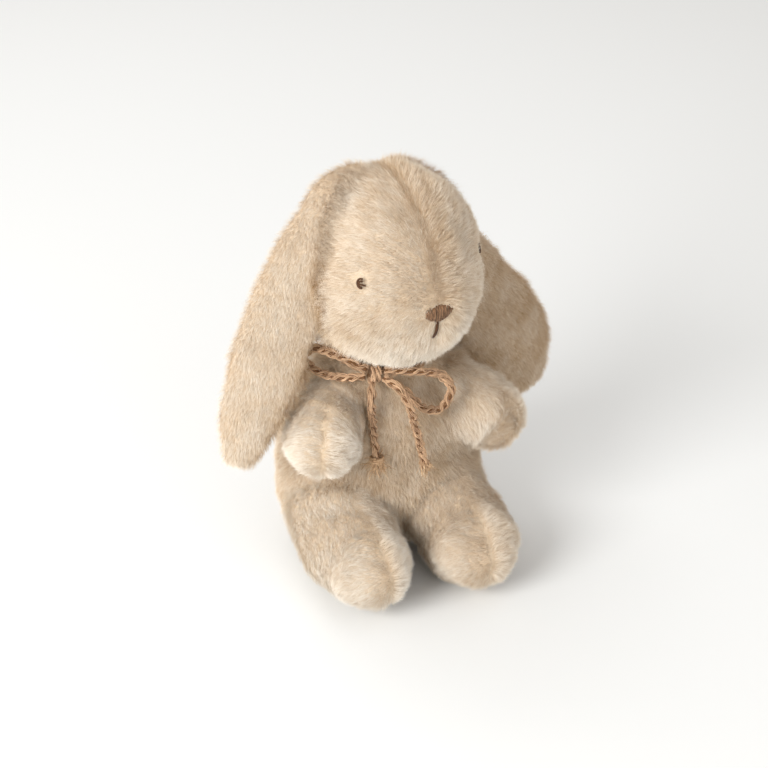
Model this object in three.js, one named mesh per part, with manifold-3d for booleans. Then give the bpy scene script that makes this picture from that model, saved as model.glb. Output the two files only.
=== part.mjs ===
// A small sitting plush rabbit: sewn pile-fabric panels over fibre filling, with lop ears,
// a stitched face and a bow of jute twine. Millimetres, +Z up, the rabbit faces -Y.
// The origin is on the surface that it sits on, in the middle of the seat.
import * as THREE from "three";
import { mergeVertices } from "three/addons/utils/BufferGeometryUtils.js";
import Module from "manifold-3d";

const wasm = await Module();
wasm.setup();

// ---- driving dimensions ------------------------------------------------------------------
const WALL = 1.8; // a cover: knitted backing and the pile packed onto it
const GAP = 0.35; // clearance between pieces that touch on the real toy
const SEAM_GAP = 0.3; // the cut that parts two panels of one cover
const HEAD_TURN = 10; // the head looks this many degrees to its own left at rest

const SHOULDER_BALL = new THREE.Vector3(0, -1, 58); // the dome that the head stands on
const SHOULDER_R = 28.5;
const HEAD_CENTRE = new THREE.Vector3(0, -7, 118.5); // before it is turned
const HEAD_SEMI = new THREE.Vector3(28, 29.5, 34.5); // half width, depth and height
const MUZZLE_OUT = 3; // how far the muzzle swells forward
const MUZZLE_AIM = new THREE.Vector3(0, -1, -0.42).normalize();
const CHEEK_OUT = 2; // how far each cheek swells sideways
const CHEEK_AIM = new THREE.Vector3(1, -0.25, -0.35).normalize(); // the left one; the right mirrors it
const TORSO_SEAM_Y = 3; // the front and back panels meet at this plane
const POUCH_TOP = 13; // the bean pouch fills the seat up to here

const TWINE_R = 1.7;
const BAND_R = 17.5; // the twine round the neck

// The pieces are laid out about the neck's axis and then moved so that the seat is the origin.
const SEAT = new THREE.Vector3(0, 10, 0);

const UP = new THREE.Vector3(0, 0, 1);
const ACROSS = new THREE.Vector3(1, 0, 0);

// A lobe is a stuffed form along a spine. `wide` and `deep` are its half sizes at even
// stations, `across` is the direction that `wide` is measured along, and `blunt` rounds its ends.
const TORSO = {
  spine: [[0, 10, -4], [0, 8, 22], [0, 3, 52], [0, -2, 95]],
  wide: [26, 40.5, 39, 32, 26, 19],
  deep: [18, 27, 28, 25, 22, 17],
  across: [1, 0, 0],
  around: 26,
  along: 16,
};
const ARM_RIGHT = {
  spine: [[-17, -3, 69], [-23.5, -11, 67.5], [-30, -23, 63.5], [-33.5, -34.5, 58.5]],
  wide: [8, 11.5, 12.5, 13, 11.5],
  deep: [8, 11, 12, 12.5, 11],
  across: [1, 0, 0],
  around: 16,
  along: 12,
};
const ARM_LEFT = {
  spine: [[17, -3, 68], [24, -9, 65], [33, -16, 58], [41, -25, 50]],
  wide: [8, 11, 12, 12.5, 11],
  deep: [8, 11, 12, 12.5, 11],
  across: [1, 0, 0],
  around: 16,
  along: 12,
};
const LEG_RIGHT = {
  spine: [[-23, 0, 20], [-24.5, -13, 20], [-20.5, -33, 17.5], [-15.5, -54, 15.5]],
  wide: [12.5, 16.5, 16.5, 15.5, 13],
  deep: [11.5, 17, 16.5, 15.5, 13],
  across: [1, 0, 0],
  around: 18,
  along: 12,
};
const LEG_LEFT = {
  spine: [[19, 0, 19], [20, -14, 18.5], [20.5, -33, 16.5], [22, -54, 15.5]],
  wide: [12, 15, 16.5, 17, 14.5],
  deep: [11, 14.5, 15.5, 15.5, 14],
  across: [1, 0, 0],
  around: 18,
  along: 12,
};
const EAR_RIGHT = {
  spine: [[-7, 3, 150.5], [-18.5, 1, 144], [-29, -2, 129.5], [-38.5, -3, 111], [-48, -5, 91],
    [-56, -6, 72], [-61, -6.5, 56]],
  wide: [6, 8, 10, 11, 11.5, 11.5, 9.5],
  deep: [2.6, 3.4, 3.8, 4, 4, 3.8, 3.2],
  across: [0.92, -0.38, 0],
  around: 12,
  along: 15,
  blunt: 0.5,
};
const EAR_LEFT = {
  spine: [[6, 4, 147.5], [16, 4, 139], [24.2, 3, 123], [34.2, 3.5, 104], [46.4, 3.5, 84], [58, 3.5, 64.5],
    [64.6, 3, 45]],
  wide: [6, 8, 11.5, 15, 17, 18, 15.5],
  deep: [2.6, 3.4, 3.8, 4, 4, 3.8, 3.2],
  across: [1, 0.1, 0],
  around: 12,
  along: 15,
  blunt: 0.5,
};
const TAIL_CENTRE = new THREE.Vector3(0, 38, 18);
const TAIL_R = 10;

// The stitched face, on the head before it is turned.
const EYE = new THREE.Vector3(22.4, -23.1, 124.3); // the left one; the right one mirrors it
const NOSE = new THREE.Vector3(0, -38, 115.7);
const NOSE_SEMI = new THREE.Vector3(5.4, 2.2, 2.9);
const MOUTH = [[-0.6, -38.6, 112], [-1.2, -38.2, 108.8], [-2.4, -36.9, 105.4]];

// The twine, as it lies at rest.
const KNOT = new THREE.Vector3(-9.6, -18.3, 83.9);
const KNOT_SEMI = new THREE.Vector3(3.8, 3, 3.4);
const LOOP_RIGHT = [[-3, 0.2, 1.4], [-7, 1, 4], [-13, 3, 7.6], [-20, 6.6, 9.6],
  [-23, 8.8, 5.6], [-19.2, 6.6, 0.6], [-11, 2.6, -1.8], [-3.3, 0.6, -1.7]];
const LOOP_LEFT = [[3.2, -1.8, 1.2], [8.5, -4, 0.9], [15.5, -5.6, 0.2], [22.6, -6.2, -2.4],
  [26, -6.8, -8.8], [21.8, -7, -15.8], [16.2, -6.2, -14.8], [11, -4.2, -9], [4.4, -1.8, -3.2]];
const TAIL_RIGHT = [[-1.6, -1.6, -2.2], [-2.6, -4.2, -7.5], [-2.2, -3.6, -14], [-1.8, -3.6, -22],
  [-1, -5.6, -34.5]];
const TAIL_LEFT = [[2.2, -4, -0.5], [5.8, -9, -3], [9.4, -10.8, -10.8], [12, -9.6, -20.5],
  [16, -8.4, -37.5]];

// ---- solids ------------------------------------------------------------------------------
function solidOf(geometry) {
  const bare = geometry.clone();
  bare.deleteAttribute("normal");
  bare.deleteAttribute("uv");
  const merged = mergeVertices(bare, 1e-4);
  return new wasm.Manifold(
    new wasm.Mesh({
      numProp: 3,
      vertProperties: new Float32Array(merged.attributes.position.array),
      triVerts: new Uint32Array(merged.index.array),
    }),
  );
}

function geometryOf(solid) {
  const mesh = solid.getMesh();
  const geometry = new THREE.BufferGeometry();
  const points = new Float32Array(mesh.numVert * 3);
  for (let i = 0; i < mesh.numVert; i++) {
    for (let k = 0; k < 3; k++) points[3 * i + k] = mesh.vertProperties[mesh.numProp * i + k];
  }
  geometry.setAttribute("position", new THREE.BufferAttribute(points, 3));
  geometry.setIndex(new THREE.BufferAttribute(new Uint32Array(mesh.triVerts), 1));
  geometry.computeVertexNormals();
  return geometry;
}

// A sphere's points lie round the pole in the other sense once it is laid along some spines.
function outward(geometry) {
  const made = solidOf(geometry);
  if (made.volume() > 0) return made;
  const index = geometry.index.array;
  for (let i = 0; i < index.length; i += 3) {
    const kept = index[i + 1];
    index[i + 1] = index[i + 2];
    index[i + 2] = kept;
  }
  return solidOf(geometry);
}

function block(low, high) {
  const size = new THREE.Vector3().subVectors(high, low);
  const centre = new THREE.Vector3().addVectors(high, low).multiplyScalar(0.5);
  const box = new THREE.BoxGeometry(size.x, size.y, size.z);
  return solidOf(box.translate(centre.x, centre.y, centre.z));
}

function ball(centre, radius, around = 24, along = 16) {
  const sphere = new THREE.SphereGeometry(radius, around, along).rotateX(Math.PI / 2);
  return solidOf(sphere.translate(centre.x, centre.y, centre.z));
}

// Everything on the side of a plane that `normal` points to, half a seam's gap away from it.
function halfSpace(point, normal) {
  const reach = 400;
  const box = new THREE.BoxGeometry(reach, reach, reach);
  box.translate(0, 0, reach / 2 + SEAM_GAP / 2);
  box.applyQuaternion(new THREE.Quaternion().setFromUnitVectors(UP, normal));
  return solidOf(box.translate(point.x, point.y, point.z));
}

function tube(points, radius, sides, steps) {
  const path = new THREE.CatmullRomCurve3(points, false, "centripetal");
  const disc = new THREE.Shape();
  for (let i = 0; i < sides; i++) {
    const turn = (2 * Math.PI * i) / sides;
    const method = i === 0 ? "moveTo" : "lineTo";
    disc[method](radius * Math.cos(turn), radius * Math.sin(turn));
  }
  const settings = { steps, extrudePath: path, bevelEnabled: false, curveSegments: 1 };
  return outward(mergeVertices(stripped(new THREE.ExtrudeGeometry(disc, settings)), 1e-4));
}

function stripped(geometry) {
  geometry.deleteAttribute("normal");
  geometry.deleteAttribute("uv");
  return geometry;
}

// A solid turned by `degrees` about an axis through `pivot`.
function turned(solid, pivot, axis, degrees) {
  const matrix = new THREE.Matrix4().makeTranslation(pivot.x, pivot.y, pivot.z);
  const radians = THREE.MathUtils.degToRad(degrees);
  matrix.multiply(new THREE.Matrix4().makeRotationAxis(axis, radians));
  matrix.multiply(new THREE.Matrix4().makeTranslation(-pivot.x, -pivot.y, -pivot.z));
  return solid.transform(matrix.elements);
}

// Pieces of the head are laid out facing -Y and then turned with it.
function onHead(solid) {
  return turned(solid, SHOULDER_BALL, UP, HEAD_TURN);
}

// ---- stuffed forms -----------------------------------------------------------------------
// A number read off evenly spaced stations, smoothly between them.
function station(list, share) {
  const at = share * (list.length - 1);
  const i = Math.min(Math.floor(at), list.length - 2);
  const local = at - i;
  const ease = local * local * (3 - 2 * local);
  return list[i] + (list[i + 1] - list[i]) * ease;
}

// The lobe as a closed solid. `inset` shrinks it all round and at its ends. With `layer` set
// to 1 or -1 it is only the half on that side of its middle surface, which is one panel of an
// ear that is sewn flat.
function lobe(shape, { inset = 0, detail = 1, layer = 0 } = {}) {
  const { spine, wide, deep, across, blunt = 0.62, around = 18, along = 14 } = shape;
  const curve = new THREE.CatmullRomCurve3(spine.map((p) => new THREE.Vector3(...p)));
  const sphere = new THREE.SphereGeometry(1, Math.round(around * detail), Math.round(along * detail));
  const position = sphere.attributes.position;
  const length = curve.getLength();
  const trimmed = inset / length;
  const side = new THREE.Vector3(...across).normalize();
  for (let i = 0; i < position.count; i++) {
    const y = THREE.MathUtils.clamp(position.getY(i), -1, 1);
    const turn = Math.atan2(position.getZ(i), position.getX(i));
    const reached = trimmed + ((1 - y) / 2) * (1 - 2 * trimmed);
    const share = THREE.MathUtils.clamp(reached, 0, 1);
    const dome = Math.pow(Math.sqrt(1 - y * y), blunt);
    const tangent = curve.getTangentAt(share);
    const centre = curve.getPointAt(share).addScaledVector(tangent, (reached - share) * length);
    const u = side.clone().addScaledVector(tangent, -side.dot(tangent)).normalize();
    const v = new THREE.Vector3().crossVectors(tangent, u);
    const height = -(station(deep, share) - inset) * dome * Math.sin(turn);
    const kept = layer ? layer * (Math.max(layer * height, 0) + SEAM_GAP / 2) : height;
    centre.addScaledVector(u, (station(wide, share) - inset) * dome * Math.cos(turn));
    centre.addScaledVector(v, kept);
    position.setXYZ(i, centre.x, centre.y, centre.z);
  }
  return outward(sphere);
}

// The head: an egg that swells into a muzzle at the lower front.
function headForm(inset = 0, around = 24, along = 18) {
  const sphere = new THREE.SphereGeometry(1, around, along).rotateX(Math.PI / 2);
  const position = sphere.attributes.position;
  const semi = HEAD_SEMI.clone().subScalar(inset);
  const point = new THREE.Vector3();
  for (let i = 0; i < position.count; i++) {
    point.fromBufferAttribute(position, i).normalize();
    const swell = MUZZLE_OUT * Math.pow(Math.max(point.dot(MUZZLE_AIM), 0), 4);
    const cheek = CHEEK_AIM.clone().multiply(new THREE.Vector3(Math.sign(point.x), 1, 1));
    const round = CHEEK_OUT * Math.pow(Math.max(point.dot(cheek), 0), 4);
    point.multiply(semi).addScaledVector(MUZZLE_AIM, swell).addScaledVector(cheek, round);
    point.add(HEAD_CENTRE);
    position.setXYZ(i, point.x, point.y, point.z);
  }
  return solidOf(sphere);
}

// ---- the model ---------------------------------------------------------------------------
const rabbit = new THREE.Group();
const materials = {
  pile: new THREE.MeshStandardMaterial({ color: 0xe3d3b6, roughness: 0.95, metalness: 0 }),
  fibre: new THREE.MeshStandardMaterial({ color: 0xf4f2ec, roughness: 1, metalness: 0 }),
  beans: new THREE.MeshStandardMaterial({ color: 0xe9e4d8, roughness: 0.8, metalness: 0 }),
  thread: new THREE.MeshStandardMaterial({ color: 0x6b4a33, roughness: 0.7, metalness: 0 }),
  twine: new THREE.MeshStandardMaterial({ color: 0xb98c62, roughness: 0.95, metalness: 0 }),
};

function add(name, solid, material) {
  const moved = solid.translate(-SEAT.x, -SEAT.y, -SEAT.z);
  const mesh = new THREE.Mesh(geometryOf(moved), material);
  mesh.name = name;
  rabbit.add(mesh);
}

// One limb: how it lies, where it is sewn on, and how far it swings there.
const LIMBS = [
  { name: "arm_right", shape: ARM_RIGHT, pivot: [-19, -6, 67], axis: [-1, 0, 0], range: [-10, 15] },
  { name: "arm_left", shape: ARM_LEFT, pivot: [19, -6, 67], axis: [-1, 0, 0], range: [-10, 15] },
  { name: "leg_right", shape: LEG_RIGHT, pivot: [-20, -6, 19], axis: [0, 0, -1], range: [0, 25] },
  { name: "leg_left", shape: LEG_LEFT, pivot: [20, -6, 19], axis: [0, 0, 1], range: [0, 25] },
];
const SWEEP_STEP = 15; // at most this many degrees between the stations of a swing

// All the room that a limb needs on its way, with `spare` between it and what it passes.
function swept({ shape, pivot, axis, range }, spare, detail) {
  const grown = lobe(shape, { inset: -spare, detail });
  const centre = new THREE.Vector3(...pivot);
  const about = new THREE.Vector3(...axis);
  const steps = Math.ceil((range[1] - range[0]) / SWEEP_STEP);
  let room = grown;
  for (let i = 0; i <= steps; i++) {
    const angle = range[0] + ((range[1] - range[0]) * i) / steps;
    room = room.add(turned(grown, centre, about, angle));
  }
  return room;
}

// The torso's own form: flat where it sits, and a dome of revolution on top, so that the head
// turns on it without touching.
function torsoForm(inset = 0, detail = 1) {
  const seat = block(new THREE.Vector3(-99, -99, inset), new THREE.Vector3(99, 99, SHOULDER_BALL.z));
  const dome = ball(SHOULDER_BALL, SHOULDER_R - inset, Math.round(28 * detail), Math.round(20 * detail));
  return lobe(TORSO, { inset, detail }).intersect(seat.add(dome));
}

function allSwept(spare, detail) {
  let room = swept(LIMBS[0], spare, detail);
  for (const limb of LIMBS.slice(1)) room = room.add(swept(limb, spare, detail));
  return room;
}

function buildTorso() {
  const room = allSwept(GAP + 1.4, 0.7);
  const cover = torsoForm().subtract(torsoForm(WALL, 0.7)).subtract(room);
  const seam = new THREE.Vector3(0, TORSO_SEAM_Y, 0);
  add("torso_front_panel", cover.intersect(halfSpace(seam, new THREE.Vector3(0, -1, 0))), materials.pile);
  add("torso_back_panel", cover.intersect(halfSpace(seam, new THREE.Vector3(0, 1, 0))), materials.pile);
  const inside = torsoForm(WALL + GAP + 1.1, 0.6).subtract(allSwept(GAP + 2.4, 0.5));
  const level = new THREE.Vector3(0, 0, POUCH_TOP);
  add("torso_fill", inside.intersect(halfSpace(level, UP)), materials.fibre);
  const pouch = inside.intersect(halfSpace(level, UP.clone().negate()));
  const behind = halfSpace(new THREE.Vector3(0, -2, 0), new THREE.Vector3(0, 1, 0));
  add("seat_bean_pouch", pouch.intersect(behind), materials.beans);
}

// A limb is two panels sewn along its upper and lower middle line, and its filling.
function buildLimb({ name, shape }) {
  const start = new THREE.Vector3(...shape.spine[0]);
  const end = new THREE.Vector3(...shape.spine.at(-1));
  const outer = new THREE.Vector3().subVectors(end, start).cross(UP).normalize();
  if (outer.x * start.x < 0) outer.negate();
  const middle = new THREE.Vector3().addVectors(start, end).multiplyScalar(0.5);
  const cover = lobe(shape).subtract(lobe(shape, { inset: WALL, detail: 0.6 }));
  add(`${name}_outer_panel`, cover.intersect(halfSpace(middle, outer)), materials.pile);
  add(`${name}_inner_panel`, cover.intersect(halfSpace(middle, outer.clone().negate())), materials.pile);
  add(`${name}_fill`, lobe(shape, { inset: WALL + GAP + 0.3, detail: 0.6 }), materials.fibre);
}

function buildHead() {
  const room = ball(SHOULDER_BALL, SHOULDER_R + GAP, 28, 20);
  const cover = headForm().subtract(headForm(WALL, 16, 12)).subtract(room);
  const middle = HEAD_CENTRE;
  const halves = { right: new THREE.Vector3(-1, 0, 0), left: ACROSS };
  for (const [side, normal] of Object.entries(halves)) {
    add(`head_panel_${side}`, onHead(cover.intersect(halfSpace(middle, normal))), materials.pile);
  }
  const fill = headForm(WALL + GAP + 0.6, 16, 12).subtract(ball(SHOULDER_BALL, SHOULDER_R + 2 * GAP, 28, 20));
  add("head_fill", onHead(fill), materials.fibre);
}

function buildEar(side, shape) {
  const clear = headForm(-GAP - 0.4);
  for (const [name, layer] of [["upper", 1], ["under", -1]]) {
    const panel = lobe(shape, { layer }).subtract(clear);
    add(`ear_${side}_${name}_panel`, onHead(panel), materials.pile);
  }
}

function buildTail() {
  const clear = torsoForm(-GAP - 0.5, 0.8);
  const cover = ball(TAIL_CENTRE, TAIL_R, 16, 12).subtract(ball(TAIL_CENTRE, TAIL_R - WALL, 12, 8));
  add("tail_cover", cover.subtract(clear), materials.pile);
  add("tail_fill", ball(TAIL_CENTRE, TAIL_R - WALL - GAP - 0.4, 12, 8).subtract(clear), materials.fibre);
}

// Stitches lie on the pile, so the head's own form is taken off them.
function stitched(solid) {
  return onHead(solid.subtract(headForm(-GAP)));
}

function buildFace() {
  for (const [side, sign] of [["right", -1], ["left", 1]]) {
    const eye = EYE.clone().multiply(new THREE.Vector3(sign, 1, 1));
    const forward = new THREE.Vector3(-0.55 * sign, -0.83, 0).multiplyScalar(1.9);
    const points = [eye.clone().sub(forward), eye.clone(), eye.clone().add(forward)];
    points[1].z -= 0.7;
    points[1].addScaledVector(new THREE.Vector3(sign * 0.83, -0.55, 0), 0.5);
    add(`eye_${side}`, stitched(tube(points, 1.15, 8, 6)), materials.thread);
  }
  const pad = new THREE.SphereGeometry(1, 16, 12).scale(NOSE_SEMI.x, NOSE_SEMI.y, NOSE_SEMI.z);
  add("nose", stitched(solidOf(pad.translate(NOSE.x, NOSE.y, NOSE.z))), materials.thread);
  const mouth = tube(MOUTH.map((p) => new THREE.Vector3(...p)), 0.8, 8, 6);
  const below = NOSE_SEMI.clone().addScalar(GAP);
  const clear = new THREE.SphereGeometry(1, 16, 12).scale(below.x, below.y, below.z);
  add("mouth", stitched(mouth.subtract(solidOf(clear.translate(NOSE.x, NOSE.y, NOSE.z)))), materials.thread);
}

function knotForm(grow = 0) {
  const form = new THREE.SphereGeometry(1, 16, 12);
  form.scale(KNOT_SEMI.x + grow, KNOT_SEMI.y + grow, KNOT_SEMI.z + grow);
  return solidOf(form.translate(KNOT.x, KNOT.y, KNOT.z));
}

// Twine that leaves the knot through `offsets` from its middle.
function strand(offsets, steps, grow = 0) {
  const points = offsets.map((p) => new THREE.Vector3(...p).add(KNOT));
  return tube(points, TWINE_R + grow, 8, steps);
}

function buildTwine() {
  const away = SHOULDER_R + TWINE_R + GAP + 0.1;
  const height = SHOULDER_BALL.z + Math.sqrt(away * away - BAND_R * BAND_R);
  const knotTurn = Math.atan2(KNOT.y - SHOULDER_BALL.y, KNOT.x);
  const ring = [];
  for (let i = 0; i <= 14; i++) {
    const turn = knotTurn + 0.05 + ((2 * Math.PI - 0.1) * i) / 14;
    ring.push(new THREE.Vector3(BAND_R * Math.cos(turn), SHOULDER_BALL.y + BAND_R * Math.sin(turn), height));
  }
  const clear = knotForm(GAP);
  add("twine_knot", knotForm(), materials.twine);
  add("twine_neck_band", tube(ring, TWINE_R, 8, 22).subtract(clear), materials.twine);
  add("twine_loop_right", strand(LOOP_RIGHT, 22).subtract(clear), materials.twine);
  add("twine_loop_left", strand(LOOP_LEFT, 22).subtract(clear), materials.twine);
  add("twine_tail_right", strand(TAIL_RIGHT, 12).subtract(clear), materials.twine);
  add("twine_tail_left", strand(TAIL_LEFT, 14).subtract(clear), materials.twine);
}

buildTorso();
for (const limb of LIMBS) buildLimb(limb);
buildHead();
buildEar("right", EAR_RIGHT);
buildEar("left", EAR_LEFT);
buildFace();
buildTail();
buildTwine();

export default rabbit;
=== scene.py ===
"""The looks of a small plush rabbit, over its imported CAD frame: fur, stitched face and twine bow.

Lengths are in millimetres until a mesh is made, and positions are laid out about the neck's axis,
as the CAD part lays them out, so `placed` moves them into the row frame.
"""

import math

import bpy
import numpy as np
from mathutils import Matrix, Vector, kdtree


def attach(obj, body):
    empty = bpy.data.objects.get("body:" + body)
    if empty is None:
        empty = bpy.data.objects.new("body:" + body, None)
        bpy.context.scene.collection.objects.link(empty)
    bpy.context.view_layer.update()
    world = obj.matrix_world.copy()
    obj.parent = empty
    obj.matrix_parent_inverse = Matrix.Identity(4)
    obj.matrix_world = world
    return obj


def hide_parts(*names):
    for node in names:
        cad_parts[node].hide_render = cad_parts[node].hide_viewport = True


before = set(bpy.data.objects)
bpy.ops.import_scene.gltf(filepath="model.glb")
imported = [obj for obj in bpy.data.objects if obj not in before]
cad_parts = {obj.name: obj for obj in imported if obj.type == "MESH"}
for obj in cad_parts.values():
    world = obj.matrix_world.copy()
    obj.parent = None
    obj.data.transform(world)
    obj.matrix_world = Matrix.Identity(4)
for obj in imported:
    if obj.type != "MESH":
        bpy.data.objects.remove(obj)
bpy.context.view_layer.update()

MM = 0.001
SEAT = np.array([0.0, 10.0, 0.0])  # the origin, in the layout's own frame
NECK_AXIS = np.array([0.0, -1.0, 0.0])
HEAD_TURN = math.radians(10)
rng = np.random.default_rng(20)

# ---- camera ----
CAMERA_AIM = np.array([-4.0, -22.0, 74.0])
CAMERA_AZIMUTH = math.radians(-19)
CAMERA_ELEVATION = math.radians(32)
CAMERA_DISTANCE = 600
CAMERA_LENS = 79.9
CAMERA_SENSOR = 36


def link(thing):
    bpy.context.scene.collection.objects.link(thing)


def add_camera():
    a, e = CAMERA_AZIMUTH, CAMERA_ELEVATION
    back = Vector((math.sin(a) * math.cos(e), -math.cos(a) * math.cos(e), math.sin(e)))
    data = bpy.data.cameras.new("camera")
    data.lens = CAMERA_LENS
    data.sensor_width = CAMERA_SENSOR
    data.clip_start = 0.01
    camera = bpy.data.objects.new("camera", data)
    camera.location = (Vector(CAMERA_AIM) + back * CAMERA_DISTANCE) * MM
    camera.rotation_euler = back.to_track_quat("Z", "Y").to_euler()
    link(camera)
    bpy.context.scene.camera = camera


add_camera()


# ---- small maths ----
def unit(v):
    """Vectors along the last axis, made one long."""
    return v / np.maximum(np.linalg.norm(v, axis=-1, keepdims=True), 1e-12)


def placed(points):
    """Layout millimetres to the row frame, still in millimetres."""
    return np.asarray(points, float) - SEAT


def turn_head(points, by=HEAD_TURN):
    """What is laid out on a head that looks along -Y, turned with it."""
    p = np.asarray(points, float) - NECK_AXIS
    c, s = math.cos(by), math.sin(by)
    return p @ np.array([[c, s, 0], [-s, c, 0], [0, 0, 1]]) + NECK_AXIS


def waves(points, wavelength, seed, count=7):
    """A smooth field from about -1 to 1 that varies over `wavelength`."""
    r = np.random.default_rng(seed)
    k = unit(r.normal(size=(count, 3))) * (2 * math.pi / wavelength)
    k *= r.uniform(0.7, 1.4, (count, 1))
    phase = r.uniform(0, 2 * math.pi, count)
    return np.sin(points @ k.T + phase).sum(axis=1) / math.sqrt(count)


def swirl(points, wavelength, seed):
    """Three such fields, as a vector at each point."""
    return np.stack([waves(points, wavelength, seed + i) for i in range(3)], axis=1)


def smoothstep(low, high, x):
    t = np.clip((x - low) / (high - low), 0, 1)
    return t * t * (3 - 2 * t)


def curve_through(points, step=0.35):
    """A centripetal spline through the points, resampled every `step` of its length."""
    p = np.asarray(points, float)
    p = np.vstack([2 * p[0] - p[1], p, 2 * p[-1] - p[-2]])
    fine = []
    for i in range(1, len(p) - 2):
        a, b, c, d = p[i - 1 : i + 3]
        gaps = [math.sqrt(np.linalg.norm(y - x)) for x, y in ((a, b), (b, c), (c, d))]
        t0, t1, t2, t3 = np.cumsum([0, *gaps])
        t = np.linspace(t1, t2, 40, endpoint=False)[:, None]
        a1 = (t1 - t) / (t1 - t0) * a + (t - t0) / (t1 - t0) * b
        a2 = (t2 - t) / (t2 - t1) * b + (t - t1) / (t2 - t1) * c
        a3 = (t3 - t) / (t3 - t2) * c + (t - t2) / (t3 - t2) * d
        b1 = (t2 - t) / (t2 - t0) * a1 + (t - t0) / (t2 - t0) * a2
        b2 = (t3 - t) / (t3 - t1) * a2 + (t - t1) / (t3 - t1) * a3
        fine.append((t2 - t) / (t2 - t1) * b1 + (t - t1) / (t2 - t1) * b2)
    fine = np.vstack([*fine, p[-2]])
    along = np.concatenate([[0], np.cumsum(np.linalg.norm(np.diff(fine, axis=0), axis=1))])
    stations = np.linspace(0, along[-1], max(int(along[-1] / step), 4) + 1)
    return np.stack([np.interp(stations, along, fine[:, k]) for k in range(3)], axis=1)


def sides_of(path):
    """Two directions square to the path at each of its points, that turn as little as they can."""
    tangent = unit(np.gradient(path, axis=0))
    first = np.array([0.0, 0.0, 1.0]) if abs(tangent[0][2]) < 0.9 else np.array([1.0, 0, 0])
    u = np.empty_like(path)
    kept = first
    for i, t in enumerate(tangent):
        kept = kept - t * (kept @ t)
        kept /= np.linalg.norm(kept)
        u[i] = kept
    return tangent, u, np.cross(tangent, u)


# ---- meshes ----
def make_piece(name, points, corners, sizes, body, material, uv=None):
    """A mesh object from arrays: points in layout millimetres, the corners of every face in a
    row, and how many corners each face has. It rides on a CAD body."""
    mesh = bpy.data.meshes.new(name)
    mesh.vertices.add(len(points))
    mesh.vertices.foreach_set("co", (placed(points) * MM).astype(np.float32).ravel())
    mesh.loops.add(len(corners))
    mesh.loops.foreach_set("vertex_index", corners.astype(np.int32))
    mesh.polygons.add(len(sizes))
    starts = np.concatenate([[0], np.cumsum(sizes)[:-1]])
    mesh.polygons.foreach_set("loop_start", starts.astype(np.int32))
    mesh.polygons.foreach_set("use_smooth", np.ones(len(sizes), bool))
    if uv is not None:
        layer = mesh.uv_layers.new(name="OFBake")
        layer.data.foreach_set("uv", uv[corners].astype(np.float32).ravel())
    mesh.update(calc_edges=True)
    mesh.materials.append(material)
    piece = bpy.data.objects.new(name, mesh)
    link(piece)
    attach(piece, body)
    return piece


def ring_quads(rows, around):
    """The corners of the faces between rings whose points are in a row."""
    i, j = np.meshgrid(np.arange(rows - 1), np.arange(around), indexing="ij")
    here, there = i * around, (i + 1) * around
    k = (j + 1) % around
    return np.stack([here + j, here + k, there + k, there + j], -1).reshape(-1, 4)


def tube_arrays(path, radius, sides=6, start=0):
    """Points, corners, sizes and (round, along) of a capped tube; radius may vary along it."""
    n = len(path)
    _, u, v = sides_of(path)
    turn = 2 * math.pi * np.arange(sides) / sides
    r = np.broadcast_to(np.asarray(radius, float), (n,))[:, None, None]
    ring = np.cos(turn)[None, :, None] * u[:, None] + np.sin(turn)[None, :, None] * v[:, None]
    points = (path[:, None] + r * ring).reshape(-1, 3)
    caps = [np.arange(sides)[::-1], (n - 1) * sides + np.arange(sides)]
    corners = np.concatenate([ring_quads(n, sides).reshape(-1), *caps])
    sizes = np.concatenate([np.full((n - 1) * sides, 4), [sides, sides]])
    where = np.stack([np.tile(turn / (2 * math.pi), n), np.repeat(np.linspace(0, 1, n), sides)], 1)
    return points, corners + start, sizes, where


def make_tubes(name, paths, radii, body, material, sides=6):
    """Many tubes as one piece. Each has its own strip of the UV square."""
    points, corners, sizes, uvs, start = [], [], [], [], 0
    for index, (path, radius) in enumerate(zip(paths, radii)):
        p, c, s, w = tube_arrays(path, radius, sides, start)
        w[:, 0] = (index + 0.04 + 0.92 * w[:, 0]) / len(paths)
        points.append(p)
        corners.append(c)
        sizes.append(s)
        uvs.append(w)
        start += len(p)
    corners = np.concatenate(corners)
    sizes = np.concatenate(sizes)
    return make_piece(name, np.vstack(points), corners, sizes, body, material, np.vstack(uvs))


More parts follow.
